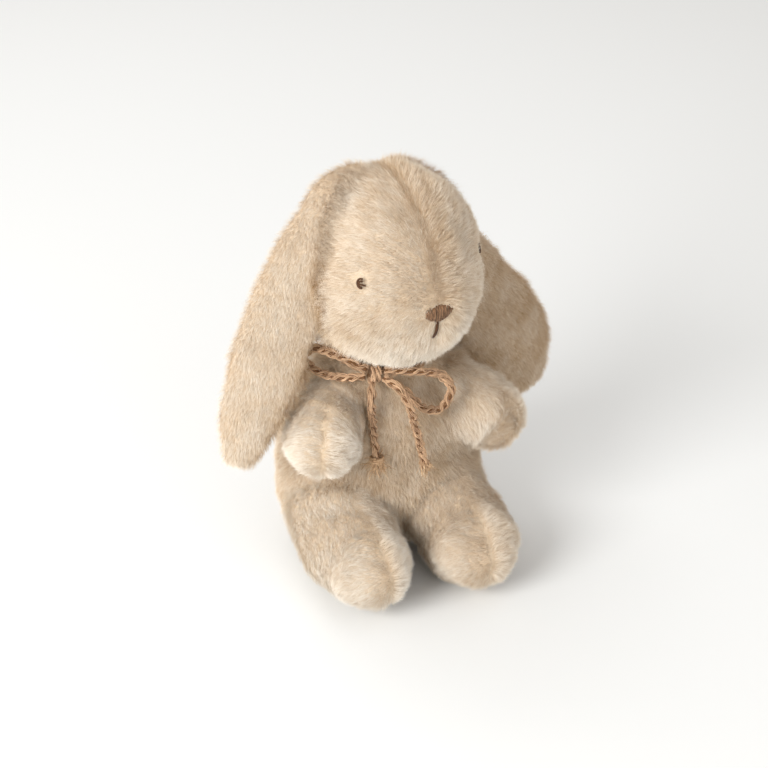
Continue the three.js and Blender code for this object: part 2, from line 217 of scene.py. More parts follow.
# ---- stuffed forms ----
class Form:
    """A closed surface of rings round a spine, with what the fur needs to know at each point:
    `share` along the spine, `turn` round it, and `along`, the direction that the spine runs."""

    def __init__(self, rings, poles, share, turn, along):
        rows, around = rings.shape[:2]
        self.points = np.vstack([rings.reshape(-1, 3), poles])
        self.share = np.concatenate([np.repeat(share, around), [0, 1]])
        self.turn = np.concatenate([np.tile(turn, rows), [0, 0]])
        self.along = np.vstack([np.repeat(along, around, axis=0), along[0], along[-1]])
        quads = ring_quads(rows, around)
        j = np.arange(around)
        k = (j + 1) % around
        top, bottom, base = rows * around, rows * around + 1, (rows - 1) * around
        first = np.stack([np.full(around, top), k, j], -1)
        last = np.stack([np.full(around, bottom), base + j, base + k], -1)
        self.tris = np.vstack([quads[:, [0, 1, 2]], quads[:, [0, 2, 3]], first, last])
        p = self.points[self.tris]
        volume = np.einsum("ij,ij->i", p[:, 0], np.cross(p[:, 1], p[:, 2])).sum()
        if volume < 0:
            self.tris = self.tris[:, ::-1]
        self.refresh()

    def refresh(self):
        """Works the normals and face areas out again after the points have moved."""
        p = self.points[self.tris]
        cross = np.cross(p[:, 1] - p[:, 0], p[:, 2] - p[:, 0])
        normal = np.zeros_like(self.points)
        for k in range(3):
            np.add.at(normal, self.tris[:, k], cross)
        self.normal = unit(normal)
        self.area = np.linalg.norm(cross, axis=1) / 2

    def push(self, distance):
        """Moves each point along its normal."""
        self.points = self.points + self.normal * np.asarray(distance)[..., None]
        self.refresh()
        return self

    def turned(self):
        """Turns a form laid out on a head that looks along -Y with the head."""
        self.points = turn_head(self.points)
        self.along = turn_head(self.along + NECK_AXIS) - NECK_AXIS
        self.refresh()
        return self

    def piece(self, name, body, material):
        corners = self.tris.reshape(-1)
        sizes = np.full(len(self.tris), 3)
        return make_piece(name, self.points, corners, sizes, body, material)


def station(values, share):
    """A measure given at even stations along a spine, eased between them."""
    at = np.clip(share, 0, 1) * (len(values) - 1)
    i = np.minimum(at.astype(int), len(values) - 2)
    local = at - i
    ease = local * local * (3 - 2 * local)
    v = np.asarray(values, float)
    return v[i] + (v[i + 1] - v[i]) * ease


def lobe(spine, wide, deep, across=(1, 0, 0), blunt=0.62, inset=0.0, around=64, rows=60):
    """A stuffed lobe round a spine: half widths along `across`, half depths square to it, and ends
    that are rounder the larger `blunt` is. `inset` shrinks it all over."""
    path = curve_through(spine, 0.25)
    n = len(path) - 1
    length = n * np.linalg.norm(path[1] - path[0])
    y = np.cos(np.linspace(0, math.pi, rows + 2)[1:-1])
    trimmed = inset / length
    share = trimmed + (1 - y) / 2 * (1 - 2 * trimmed)
    tangents = unit(np.gradient(path, axis=0))

    def at(values, where):
        spot = np.clip(where, 0, 1) * n
        return np.stack([np.interp(spot, np.arange(n + 1), values[:, k]) for k in range(3)], 1)

    tangent = unit(at(tangents, share))
    side = unit(np.asarray(across, float))
    u = unit(side - tangent * (tangent @ side)[:, None])
    v = np.cross(tangent, u)
    dome = np.sqrt(1 - y * y) ** blunt
    turn = 2 * math.pi * np.arange(around) / around
    a = ((station(wide, share) - inset) * dome)[:, None, None]
    b = ((station(deep, share) - inset) * dome)[:, None, None]
    c, s = np.cos(turn)[None, :, None], np.sin(turn)[None, :, None]
    rings = at(path, share)[:, None] + (a * c * u[:, None] + b * s * v[:, None])
    poles = at(path, np.array([trimmed, 1 - trimmed]))
    return Form(rings, poles, share, turn, tangent)


HEAD_CENTRE = np.array([0.0, -7.0, 118.5])
HEAD_SEMI = np.array([28.0, 29.5, 34.5])
MUZZLE_OUT = 3.0
MUZZLE_AIM = unit(np.array([0.0, -1.0, -0.42]))
CHEEK_OUT = 2.0
CHEEK_AIM = unit(np.array([1.0, -0.25, -0.35]))


def on_head(direction, inset=0.0):
    """The head's surface in a direction from its middle, before it is turned."""
    d = unit(np.asarray(direction, float))
    swell = MUZZLE_OUT * np.maximum(d @ MUZZLE_AIM, 0) ** 4
    same = np.ones(d.shape[:-1])
    cheek = np.stack([np.sign(d[..., 0]), same, same], -1) * CHEEK_AIM
    round_out = CHEEK_OUT * np.maximum((d * cheek).sum(-1), 0) ** 4
    grown = swell[..., None] * MUZZLE_AIM + round_out[..., None] * cheek
    return d * (HEAD_SEMI - inset) + grown + HEAD_CENTRE


def on_face(x, z, out=0.0):
    """The head's front surface at a place across and up, `out` proud of the CAD surface."""
    a = np.asarray(x, float) / HEAD_SEMI[0]
    c = (np.asarray(z, float) - HEAD_CENTRE[2]) / HEAD_SEMI[2]
    d = np.stack([a, -np.sqrt(np.maximum(1 - a * a - c * c, 0)), c], axis=-1)
    p = on_head(d)
    return p + unit(d / HEAD_SEMI) * out


def head_form(inset, around=96, rows=72):
    """The whole head, before it is turned."""
    y = np.cos(np.linspace(0, math.pi, rows + 2)[1:-1])
    turn = 2 * math.pi * np.arange(around) / around
    ring = np.sqrt(1 - y * y)[:, None]
    directions = np.stack(
        [ring * np.cos(turn), ring * np.sin(turn), np.repeat(y[:, None], around, 1)], axis=-1
    )
    rings = on_head(directions, inset)
    poles = on_head(np.array([[0, 0, 1.0], [0, 0, -1.0]]), inset)
    down = np.tile([0.0, 0, -1], (rows, 1))
    return Form(rings, poles, (1 - y) / 2, turn, down)


# ---- materials ----
def srgb(r, g, b):
    def linear(c):
        c /= 255
        return c / 12.92 if c <= 0.04045 else ((c + 0.055) / 1.055) ** 2.4

    return (linear(r), linear(g), linear(b), 1.0)


def new_material(name, **sockets):
    """A material with values set on its shader, whose sockets are named with _ for spaces."""
    material = bpy.data.materials.new(name)
    material.use_nodes = True
    shader = material.node_tree.nodes["Principled BSDF"]
    for socket, value in sockets.items():
        shader.inputs[socket.replace("_", " ")].default_value = value
    return material, material.node_tree, shader


def ramp(tree, factor, stops):
    """Colours at stops from 0 to 1 of a factor."""
    node = tree.nodes.new("ShaderNodeValToRGB")
    elements = node.color_ramp.elements
    while len(elements) < len(stops):
        elements.new(0.5)
    for element, (at, colour) in zip(elements, stops):
        element.position = at
        element.color = colour
    tree.links.new(factor, node.inputs["Fac"])
    return node.outputs["Color"]


def bake_uv(tree):
    """The UV map that `make_piece` gives a mesh."""
    node = tree.nodes.new("ShaderNodeUVMap")
    node.uv_map = "OFBake"
    return node.outputs["UV"]


def fur_material():
    """A strand's colour is set by its tone, across the UV square, and darkens to its root, which is
    at the bottom of the square. The darkening to the root is painted shade of the pile."""
    material, tree, shader = new_material(
        "pile", Roughness=0.82, Sheen_Weight=0.25, Sheen_Roughness=0.5, Specular_IOR_Level=0.18
    )
    uv = bake_uv(tree)
    split = tree.nodes.new("ShaderNodeSeparateXYZ")
    tree.links.new(uv, split.inputs["Vector"])
    hues = [(186, 150, 110), (220, 197, 166), (241, 229, 213), (248, 241, 231), (254, 251, 246)]
    hue = ramp(tree, split.outputs["X"], [(i / 4, srgb(*hue)) for i, hue in enumerate(hues)])
    # painted shade: each strand darkens towards its root, for the shade deep in the pile
    root_shade_stops = [(0.0, (0.7, 0.58, 0.44, 1)), (0.5, (0.95, 0.92, 0.87, 1)), (1, (1, 1, 1, 1))]
    root_shade = ramp(tree, split.outputs["Y"], root_shade_stops)
    shade = tree.nodes.new("ShaderNodeMix")
    shade.data_type = "RGBA"
    shade.blend_type = "MULTIPLY"
    shade.inputs[0].default_value = 1.0
    tree.links.new(hue, shade.inputs[6])
    tree.links.new(root_shade, shade.inputs[7])
    tree.links.new(shade.outputs[2], shader.inputs["Base Color"])
    return material


def backing_material():
    """The knitted cloth under the pile, mottled over about 4 mm. It is darker than the pile as
    painted shade deep among the strands.
    """
    material, tree, shader = new_material("backing", Roughness=0.95, Specular_IOR_Level=0.1)
    noise = tree.nodes.new("ShaderNodeTexNoise")
    noise.inputs["Scale"].default_value = 260
    noise.inputs["Detail"].default_value = 4
    place = tree.nodes.new("ShaderNodeTexCoord")
    tree.links.new(place.outputs["Object"], noise.inputs["Vector"])
    # painted shade: the cloth is a little darker than the pile, for the shade down among the
    # strands
    stops = [(0.3, srgb(206, 186, 160)), (0.7, srgb(228, 211, 188))]
    colour = ramp(tree, noise.outputs["Fac"], stops)
    tree.links.new(colour, shader.inputs["Base Color"])
    bump = tree.nodes.new("ShaderNodeBump")
    bump.inputs["Strength"].default_value = 0.4
    bump.inputs["Distance"].default_value = 0.0004
    tree.links.new(noise.outputs["Fac"], bump.inputs["Height"])
    tree.links.new(bump.outputs["Normal"], shader.inputs["Normal"])
    return material


def thread_material(name, dark, light, roughness, streaks):
    """Yarn: each strip across the UV square has its own tone, and fibres streak along it."""
    material, tree, shader = new_material(
        name, Roughness=roughness, Sheen_Weight=0.15, Specular_IOR_Level=0.2
    )
    uv = bake_uv(tree)

    def noise(scale, detail):
        stretch = tree.nodes.new("ShaderNodeMapping")
        stretch.inputs["Scale"].default_value = scale
        node = tree.nodes.new("ShaderNodeTexNoise")
        node.inputs["Scale"].default_value = 1.0
        node.inputs["Detail"].default_value = detail
        node.inputs["Roughness"].default_value = 0.65
        tree.links.new(uv, stretch.inputs["Vector"])
        tree.links.new(stretch.outputs["Vector"], node.inputs["Vector"])
        return node.outputs["Fac"]

    fibre = noise(streaks, 3)
    strip = noise((streaks[0] / 8, 2.0, 1), 1)
    blend = tree.nodes.new("ShaderNodeMix")
    blend.inputs["Factor"].default_value = 0.5
    tree.links.new(fibre, blend.inputs["A"])
    tree.links.new(strip, blend.inputs["B"])
    colour = ramp(tree, blend.outputs["Result"], [(0.34, dark), (0.62, light)])
    tree.links.new(colour, shader.inputs["Base Color"])
    return material


PILE = fur_material()
BACKING = backing_material()
JUTE = thread_material("jute", srgb(106, 68, 44), srgb(238, 200, 162), 0.85, (300, 40, 1))
# painted shade: the core is dark, for the shade between the yarns of the plait
JUTE_SHADE_CORE = thread_material("jute_shade_core", srgb(82, 54, 34), srgb(134, 96, 64), 0.95, (40, 60, 1))
FRAY = thread_material("jute_fray", srgb(160, 120, 84), srgb(234, 202, 164), 0.85, (90, 6, 1))
STITCH = thread_material("stitch", srgb(66, 42, 28), srgb(154, 118, 88), 0.7, (160, 9, 1))
STITCH_DARK = thread_material("stitch_dark", srgb(44, 26, 14), srgb(100, 66, 40), 0.7, (60, 12, 1))

# ---- twine ----
KNOT = np.array([-9.6, -18.3, 83.9])
SHOULDER_BALL = np.array([0.0, -1.0, 58.0])
BAND_R, BAND_Z = 17.5, 83.07
BOW = {
    "loop_right": [[-3, 0.2, 1.4], [-7, 1, 4], [-13, 3, 7.6], [-20, 6.6, 9.6], [-23, 8.8, 5.6],
                   [-19.2, 6.6, 0.6], [-11, 2.6, -1.8], [-3.3, 0.6, -1.7]],
    "loop_left": [[3.2, -1.8, 1.2], [8.5, -4, 0.9], [15.5, -5.6, 0.2], [22.6, -6.2, -2.4],
                  [26, -6.8, -8.8], [21.8, -7, -15.8], [16.2, -6.2, -14.8], [11, -4.2, -9],
                  [4.4, -1.8, -3.2]],
    "tail_right": [[-1.6, -1.6, -2.2], [-2.6, -4.2, -7.5], [-2.2, -3.6, -14], [-1.8, -3.6, -22],
                   [-1, -5.6, -34.5]],
    "tail_left": [[2.2, -4, -0.5], [5.8, -9, -3], [9.4, -10.8, -10.8], [12, -9.6, -20.5],
                  [16, -8.4, -37.5]],
}  # from the middle of the knot
BAND_POINTS = 15
PLAIT_PITCH, YARN_PITCH, PLIES = 11.0, 11.0, 7
CORE_R = 0.9
FRAY_COUNT = 80
TIED_BACK, TIED_R, TIED_TURNS = 6, 2.2, 4  # where an end is tied off: steps from its end


def plaited(path, seed, width=1.08, thick=0.85, yarn=0.2, lay=0.62):
    """The yarns of a loose three-strand plait that follows a path, and their radii. The strands
    swing `width` and `thick` to each side. Each is a bundle of yarns about `lay` from its middle
    that hardly twists."""
    r = np.random.default_rng(seed)
    step = np.linalg.norm(path[1] - path[0])
    along = np.arange(len(path)) * step
    _, u, v = sides_of(path)
    start = r.uniform(0, 6)
    yarns, radii = [], []
    for strand in range(3):
        uneven = 0.5 * np.sin(along * 0.31 + strand) + 0.35 * np.sin(along * 0.83 + 2 * strand)
        t = 2 * math.pi * (along / PLAIT_PITCH + strand / 3) + start + uneven
        wobble = 1 + 0.14 * np.sin(along * 0.55 + strand * 2)
        middle = path + (width * wobble * np.sin(t))[:, None] * u
        middle = middle + (thick * wobble * np.cos(t + 0.5 * np.sin(2 * t)))[:, None] * v
        _, a, b = sides_of(middle)
        for ply in range(PLIES):
            s = 2 * math.pi * (along / YARN_PITCH + ply / PLIES) + strand
            loose = 1 + 0.3 * np.sin(along * r.uniform(0.5, 1.1) + r.uniform(0, 6))
            offset = np.cos(s)[:, None] * a + np.sin(s)[:, None] * b
            yarns.append(middle + lay * r.uniform(0.45, 1.1) * loose[:, None] * offset)
            size = yarn * r.uniform(0.75, 1.2)
            radii.append(size * (1 + 0.2 * np.sin(along * r.uniform(1, 2) + r.uniform(0, 6))))
    return yarns, radii


def hairs_off(path, count, seed, long=(1.2, 3.4), radius=0.055):
    """Loose fibres that stand off a length of twine."""
    r = np.random.default_rng(seed)
    tangent, u, v = sides_of(path)
    paths, radii = [], []
    for _ in range(count):
        i = r.integers(0, len(path))
        turn = r.uniform(0, 2 * math.pi)
        out = math.cos(turn) * u[i] + math.sin(turn) * v[i]
        root = path[i] + out * r.uniform(0.9, 1.5)
        off = out * r.uniform(0.3, 1.0)
        lean = unit(off + tangent[i] * r.choice([-1, 1]) * r.uniform(0.5, 1.4))
        size = r.uniform(*long)
        bend = unit(r.normal(size=3)) * size * 0.25
        mid = root + lean * size * 0.5 + bend * 0.5
        paths.append(np.array([root, mid, root + lean * size + bend]))
        radii.append(np.array([radius, radius * 0.8, radius * 0.3]))
    return paths, radii


def frayed(end, direction, count, seed, long, spread):
    """The fibres of an end that has come apart."""
    r = np.random.default_rng(seed)
    paths, radii = [], []
    for _ in range(count):
        root = end - direction * r.uniform(0.5, 2.5) + r.normal(size=3) * 0.55
        aim = unit(direction + r.normal(size=3) * spread * np.array([1, 0.45, 0.8]))
        size = r.uniform(*long)
        side = unit(r.normal(size=3)) * size * 0.18
        t = np.linspace(0, 1, 6)[:, None]
        paths.append(root + aim * size * t + side * np.sin(math.pi * t * r.uniform(0.6, 1.6)))
        radii.append(np.linspace(1, 0.45, 6) * r.uniform(0.1, 0.3))
    return paths, radii


def twine_piece(name, path, node, seed):
    """A length of twine for a CAD node: its yarns, and the core and loose fibres with them. The
    core is dark as painted shade inside the plait.
    """
    yarns, radii = plaited(path, seed)
    piece = make_tubes(name, yarns, radii, "torso", JUTE)
    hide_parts(node)
    core = make_tubes(name + "_core", [path[::2]], [CORE_R], "torso", JUTE_SHADE_CORE, sides=8)
    paths, sizes = hairs_off(path, int(len(path) * 1.2), seed)
    fuzz = make_tubes(name + "_fuzz", paths, sizes, "torso", FRAY, sides=3)
    return piece, [core, fuzz]


def wrap_round(path, at, radius, turns, seed):
    """Yarn wound round a twine where its end is tied off."""
    _, u, v = sides_of(path)
    t = np.linspace(0, 2 * math.pi * turns, 26 * turns)
    ring = np.cos(t)[:, None] * u[at] + np.sin(t)[:, None] * v[at]
    drift = unit(path[at] - path[at - 4]) * np.linspace(-0.8, 0.9, len(t))[:, None]
    wound = path[at] + radius * ring + drift
    r = np.random.default_rng(seed)
    paths, radii = [], []
    for _ in range(9):
        nine = np.linspace(0, t[-1], 9)
        wobble = [np.interp(t, nine, r.normal(size=9)) for _ in range(3)]
        paths.append(wound + 0.24 * np.stack(wobble, 1))
        radii.append(r.uniform(0.14, 0.24))
    return paths, radii


def band_path():
    """Round the neck, from one side of the knot to the other."""
    start = math.atan2(KNOT[1] - SHOULDER_BALL[1], KNOT[0]) + 0.05
    turn = start + (2 * math.pi - 0.1) * np.arange(BAND_POINTS) / (BAND_POINTS - 1)
    x = BAND_R * np.cos(turn)
    y = SHOULDER_BALL[1] + BAND_R * np.sin(turn)
    return curve_through(np.stack([x, y, np.full(BAND_POINTS, BAND_Z)], axis=1))


TWINE = {name: curve_through(np.array(offsets) + KNOT) for name, offsets in BOW.items()}
TWINE["band"] = band_path()


def add_bow_loop(side, seed):
    path = TWINE[f"loop_{side}"]
    piece, extras = twine_piece(f"twine_bow_loop_{side}", path, f"twine_loop_{side}", seed)


def add_bow_tail(side, seed, reach, spread, tied=False):
    """An end of the twine, brushed out, and perhaps tied off before that."""
    path = TWINE[f"tail_{side}"]
    piece, extras = twine_piece(f"twine_bow_tail_{side}", path, f"twine_tail_{side}", seed)
    ends, sizes = frayed(path[-1], unit(path[-1] - path[-12]), FRAY_COUNT, seed + 50, reach, spread)
    if tied:
        wound, thick = wrap_round(path, len(path) - TIED_BACK, TIED_R, TIED_TURNS, seed)
        ends += wound
        sizes += thick
    fray = make_tubes(f"twine_fray_{side}", ends, sizes, "torso", FRAY, sides=4)


def add_knot():
    """Two wraps of twine, a little askew, round the middle of the bow."""
    t = np.linspace(0, 2 * math.pi, 40)
    yarns, radii = [], []
    for shift, skew in ((-1.0, 0.5), (1.1, -0.4)):
        wrap = np.stack([shift + skew * np.sin(t), 2.6 * np.cos(t) - 0.2, 2.5 * np.sin(t) - 0.6], 1)
        path = curve_through(wrap + KNOT, 0.3)
        wrap_yarns, wrap_radii = plaited(path, 40, width=0.55, thick=0.4, yarn=0.18, lay=0.45)
        yarns += wrap_yarns
        radii += wrap_radii
    knot = make_tubes("twine_bow_knot", yarns, radii, "torso", JUTE)
    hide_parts("twine_knot")


twine_piece("twine_band", TWINE["band"], "twine_neck_band", 31)
add_bow_loop("right", 32)
add_bow_loop("left", 33)
add_bow_tail("right", 34, reach=(3.0, 7.0), spread=0.7, tied=True)
add_bow_tail("left", 36, reach=(2.5, 6.0), spread=0.36)
add_knot()


# ---- fur ----
# Two layers of strands: how many to the square millimetre, how long for the length that the form
# says, how wide, how much more upright the lower half is than the upper, and how much lighter
UNDER = dict(density=13.0, long=0.85, width=0.1, bend=0.12, bright=-0.03)
GUARD = dict(density=4.2, long=1.08, width=0.08, bend=0.3, bright=0.05)
TUFT = 1.3
ROOT_DEPTH = 0.2
PILE_LENGTH = dict(head=3.0, ear=2.6, limb=3.0, torso=3.2, tail=4.0)
CLOTH_LOW, PILE_LOW = 0.5, 0.15  # how near cloth and pile come to what the toy sits on
CLOSE, CREASE = 6.5, 4.5  # how far from another part its pile changes, and its tone
# painted shade: how much darker the pile is made in the creases between parts
CREASE_SHADE = 0.22
# how far each pair of parts swells where it meets, and how much longer its pile is there
MEETINGS = {
    frozenset(("torso", "leg")): (3.6, 2.0),
    frozenset(("torso", "arm")): (2.4, 2.0),
    frozenset(("head", "ear")): (0.9, 0.9),
}


def from_twine(points):
    """How far each point is from the middle of the nearest twine."""
    line = np.vstack([path[::3] for path in TWINE.values()])
    near = np.full(len(points), 99.0)
    inside = np.all((points > line.min(0) - 8) & (points < line.max(0) + 8), axis=1)
    where = np.flatnonzero(inside)
    for part in np.array_split(where, max(len(where) // 20000, 1)):
        if len(part):
            gap = np.linalg.norm(points[part, None] - line[None], axis=2)
            near[part] = gap.min(axis=1)
    return near


def off_ground(points):
    """Pile under the seat lies flat on what the toy sits on."""
    points[:, 2] = np.maximum(points[:, 2], PILE_LOW)
    return points


def tuft_pull(root, size):
    """From each root towards the middle of the tuft that it belongs to."""
    cell = np.floor(root / size)
    seed = np.abs(np.sin(cell @ np.array([[12.9898, 39.346, 73.156], [78.233, 11.135, 52.235],
                                          [37.719, 83.155, 9.151]])) * 43758.5453)
    return (cell + seed % 1.0) * size - root


class Spots:
    """Random places over some of a form's faces, at which its values can be read."""

    def __init__(self, form, faces, density, dense, r):
        tris = form.tris[faces]
        area = form.area[faces]
        shares = np.cumsum(area) / area.sum()
        self.count = int(area.sum() * density * dense)
        pick = np.minimum(np.searchsorted(shares, r.random(self.count)), len(tris) - 1)
        a = r.random(self.count)
        b = r.random(self.count)
        over = a + b > 1
        a[over] = 1 - a[over]
        b[over] = 1 - b[over]
        self.corner = tris[pick]
        self.weights = np.stack([1 - a - b, a, b], axis=1)

    def read(self, values):
        return np.einsum("ij,ij...->i...", self.weights, values[self.corner])


def brushed_way(root, normal, flow, wild, r):
    """The direction along the surface that each strand is brushed."""
    way = unit(flow) + wild * (swirl(root, 8.0, 3) + 0.7 * swirl(root, 2.8, 11))
    way += 0.8 * wild * r.normal(size=root.shape)
    return unit(way - normal * (way * normal).sum(1, keepdims=True))


def strand_lengths(asked, root, twine, short, r):
    """Strands near the twine are short, so that they don't bury it."""
    size = asked * (1 + 0.1 * waves(root, 5.0, 21)) * r.uniform(0.75, 1.2, len(root))
    size *= short * np.clip((twine - 1.0) / 5.5, 0.22, 1)
    return size


def strand_tilts(asked, root, twine, r):
    """How far strands lean over from upright. The twine presses them flatter."""
    tilt = asked + 0.1 * waves(root, 3.6, 29) + r.normal(size=len(root)) * 0.1
    tilt += 0.4 * np.exp(-((twine / 6) ** 2))
    return tilt


def strand_tones(asked, root, twine, bright, r):
    """Tones drift over the cloth and differ from strand to strand. Beside the twine they are
    darker, which is painted shade of the twine.
    """
    shade = asked + 0.06 * waves(root, 13, 41) + 0.04 * waves(root, 4, 43) + bright
    # painted shade: pile beside the twine is darkened
    shade -= 0.3 * np.exp(-((twine / 3.6) ** 2))
    return np.clip(shade + r.normal(size=len(root)) * 0.09, 0.01, 0.99)


def strands(form, faces, layer, dense, thin, r):
    """One layer: the corners of each strand, two at its root, two half-way up and its tip, and its
    tone. `thin` says which strands to leave out, and how much to shorten the others."""
    spots = Spots(form, faces, layer["density"], dense, r)
    count = spots.count
    root = spots.read(form.points)
    keep, short = (np.ones(count, bool), 1.0) if thin is None else thin(root)
    wild = spots.read(form.wild)[:, None]
    normal = unit(spots.read(form.normal))
    brushed = brushed_way(root, normal, spots.read(form.flow), wild, r)
    twine = from_twine(root)
    size = strand_lengths(spots.read(form.length) * layer["long"], root, twine, short, r)
    tilt = strand_tilts(spots.read(form.lean), root, twine, r)
    tone = strand_tones(spots.read(form.tone), root, twine, layer["bright"], r)
    low = np.clip(tilt - layer["bend"], 0.05, 1.5)[:, None]
    high = np.clip(tilt + layer["bend"], 0.05, 1.55)[:, None]
    first = normal * np.cos(low) + brushed * np.sin(low)
    second = normal * np.cos(high) + brushed * np.sin(high)
    half = size[:, None] / 2
    pull = tuft_pull(root, TUFT) * (0.5 + 2 * wild)
    middle = root + first * half + pull * 0.08
    tip = middle + second * half + pull * 0.2
    flat = np.cross(first + second, normal) + 0.45 * r.normal(size=(count, 3))
    wide = (r.uniform(0.75, 1.25, count) * layer["width"] / 2)[:, None] * unit(flat)
    base = root - normal * ROOT_DEPTH
    parts = base - wide, base + wide, middle - wide * 0.9, middle + wide * 0.9, tip
    return [off_ground(x[keep]) for x in parts], tone[keep]


def grow(name, node, body, form, faces, thin=None, dense=1.0):
    """Pile for a CAD node, over some of a form's faces. The form says, at each of its points, how
    the pile is brushed, how long it is, how far it leans over from upright (radians), its tone and
    how tousled it is. Blades make the short dense layer, and bent ribbons the long one over it."""
    r = np.random.default_rng(sum(map(ord, name)))
    (base_a, base_b, _, _, tip), blade_tone = strands(form, faces, UNDER, dense, thin, r)
    ribbon, ribbon_tone = strands(form, faces, GUARD, dense, thin, r)
    blades = np.stack([base_a, base_b, tip], 1).reshape(-1, 3)
    points = np.vstack([blades, np.stack(ribbon, 1).reshape(-1, 3)])
    first = len(blades) + 5 * np.arange(len(ribbon_tone))[:, None]
    ribbon_corners = first + np.array([0, 1, 3, 2, 2, 3, 4])
    corners = np.concatenate([np.arange(len(blades)), ribbon_corners.reshape(-1)])
    sizes = np.concatenate([np.full(len(blade_tone), 3), np.tile([4, 3], len(ribbon_tone))])
    u = np.concatenate([np.repeat(blade_tone, 3), np.repeat(ribbon_tone, 5)])
    blade_v = np.tile([0.05, 0.05, 0.85], len(blade_tone))
    ribbon_v = np.tile([0.02, 0.02, 0.5, 0.5, 0.98], len(ribbon_tone))
    uv = np.stack([u, np.concatenate([blade_v, ribbon_v])], 1)
    piece = make_piece(name, points, corners, sizes, body, PILE, uv)
    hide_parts(node)


def cover(name, form, body, nodes):
    """The cloth that a form's pile grows from, which also stands for what is inside it."""
    piece = form.piece(name, body, BACKING)
    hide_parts(*nodes)


def groomed(form, flow, length, lean, tone, wild=0.14):
    """Keeps with a form, at each of its points, how its pile lies."""
    def per_point(value):
        return np.broadcast_to(np.asarray(value, float), (len(form.points),)).copy()

    form.flow = flow
    form.length, form.lean, form.tone, form.wild = map(per_point, (length, lean, tone, wild))
    return form


def crease_shade(pair, points):
    """How much painted shade darkens the pile in the crease between two parts. It is hardly darker
    high on the head, and not at all out on the hips, where the pile is brushed over the join."""
    if pair == {"head", "ear"}:
        return 0.03 + 0.3 * smoothstep(134, 106, points[:, 2])
    if pair == {"torso", "leg"}:
        return CREASE_SHADE * smoothstep(36, 24, np.abs(points[:, 0]))
    return np.full(len(points), CREASE_SHADE)


def tree_of(form):
    tree = kdtree.KDTree(len(form.points))
    for i, point in enumerate(form.points):
        tree.insert(point, i)
    tree.balance()
    return tree


def meet(forms):
    """Where two stuffed parts meet they swell towards each other, as sewn parts do, and the pile
    there is longer, stands up, is tousled and is darkened with painted shade."""
    trees = {name: tree_of(form) for name, form in forms.items()}
    for name, form in forms.items():
        swell, longer, close, crease = np.zeros((4, len(form.points)))
        for other, tree in trees.items():
            if other == name:
                continue
            reach = np.array([tree.find(point)[2] for point in form.points])
            pair = frozenset((name.split("_")[0], other.split("_")[0]))
            most, grown = MEETINGS.get(pair, (0.0, 1.5))
            near = smoothstep(CLOSE, 1.0, reach)
            swell = np.maximum(swell, most * smoothstep(3.6 * most, 1, reach))
            longer = np.maximum(longer, grown * near)
            close = np.maximum(close, near)
            dark = crease_shade(pair, form.points) * smoothstep(CREASE, 1.0, reach)
            crease = np.maximum(crease, dark)
        form.push(swell)
        form.points[:, 2] = np.maximum(form.points[:, 2], CLOTH_LOW)
        form.refresh()
        form.length += longer
        form.lean -= 0.25 * close
        # painted shade: the pile near another part and in the crease is darkened
        form.tone -= 0.06 * close + crease
        form.wild += 0.08 * close


# the head
EYES = {
    side: on_head((np.array(at) - HEAD_CENTRE) / HEAD_SEMI)
    for side, at in (("right", [-21.2, -25.0, 126.0]), ("left", [23.4, -21.0, 125.2]))
}
NOSE = np.array([0.0, -38.0, 115.7])
MOUTH = np.array([[-0.5, -38.6, 112.0], [-1.0, -38.2, 109.2], [-1.4, -36.9, 106.2]])
EYE_PROUD = {"right": 1.4, "left": 0.5}  # how far the stitches stand off the cloth
EYE_ROOM, MOUTH_ROOM = 1.5, 0.5  # the pile is cleared this far from the middle of a stitch
NOSE_ROOM = (5.0, 2.7)  # and inside this half width and height


def eye_lines(side):
    """An open C, a smaller one inside it and a dash to its middle, stitched over the pile."""
    eye = EYES[side]
    sign = np.sign(eye[0])
    out = unit((eye - HEAD_CENTRE) / HEAD_SEMI**2)
    level = unit(np.cross(out, [0, 0, 1.0])) * sign
    rise = unit(np.array([0, 0, 1.0]) - out * out[2])
    base = eye + out * EYE_PROUD[side]
    t = np.linspace(1.2, 5.1, 8)[:, None]
    arc = base + (0.25 + 1.35 * np.cos(t)) * level + 1.65 * np.sin(t) * rise
    inner = base + (0.35 + 0.95 * np.cos(t)) * level + (1.05 * np.sin(t) - 0.25) * rise
    dash = base + np.linspace(-0.9, 2.0, 5)[:, None] * level - 0.35 * rise + out * 0.12
    return [arc, dash, inner]


def face_room(root):
    """Which strands clear the stitches of the face, and how much shorter they are beside them."""
    p = turn_head(root, -HEAD_TURN)
    keep, short = np.ones(len(p), bool), np.ones(len(p))
    at = np.flatnonzero(p[:, 1] < -15)
    q = p[at]
    top = 0.3 * (q[:, 2] > NOSE[2])
    nose = np.sqrt((q[:, 0] / NOSE_ROOM[0]) ** 2 + ((q[:, 2] - NOSE[2]) / NOSE_ROOM[1]) ** 2) + top
    line = curve_through(MOUTH, 0.5)
    mouth = np.linalg.norm(q[:, None, [0, 2]] - line[None][:, :, [0, 2]], axis=2).min(1)
    stitches = np.vstack([line for side in EYES for line in eye_lines(side)])
    eyes = np.linalg.norm(q[:, None] - stitches[None], axis=2).min(1)
    keep[at] = (nose > 1) & (mouth > MOUTH_ROOM) & (eyes > EYE_ROOM)
    short[at] = (smoothstep(0.7, 2.0, nose) * 0.6 + 0.4) * (smoothstep(0.2, 2.4, mouth) * 0.6 + 0.4)
    short[at] *= smoothstep(1.2, 4.5, eyes) * 0.65 + 0.35
    return keep, short


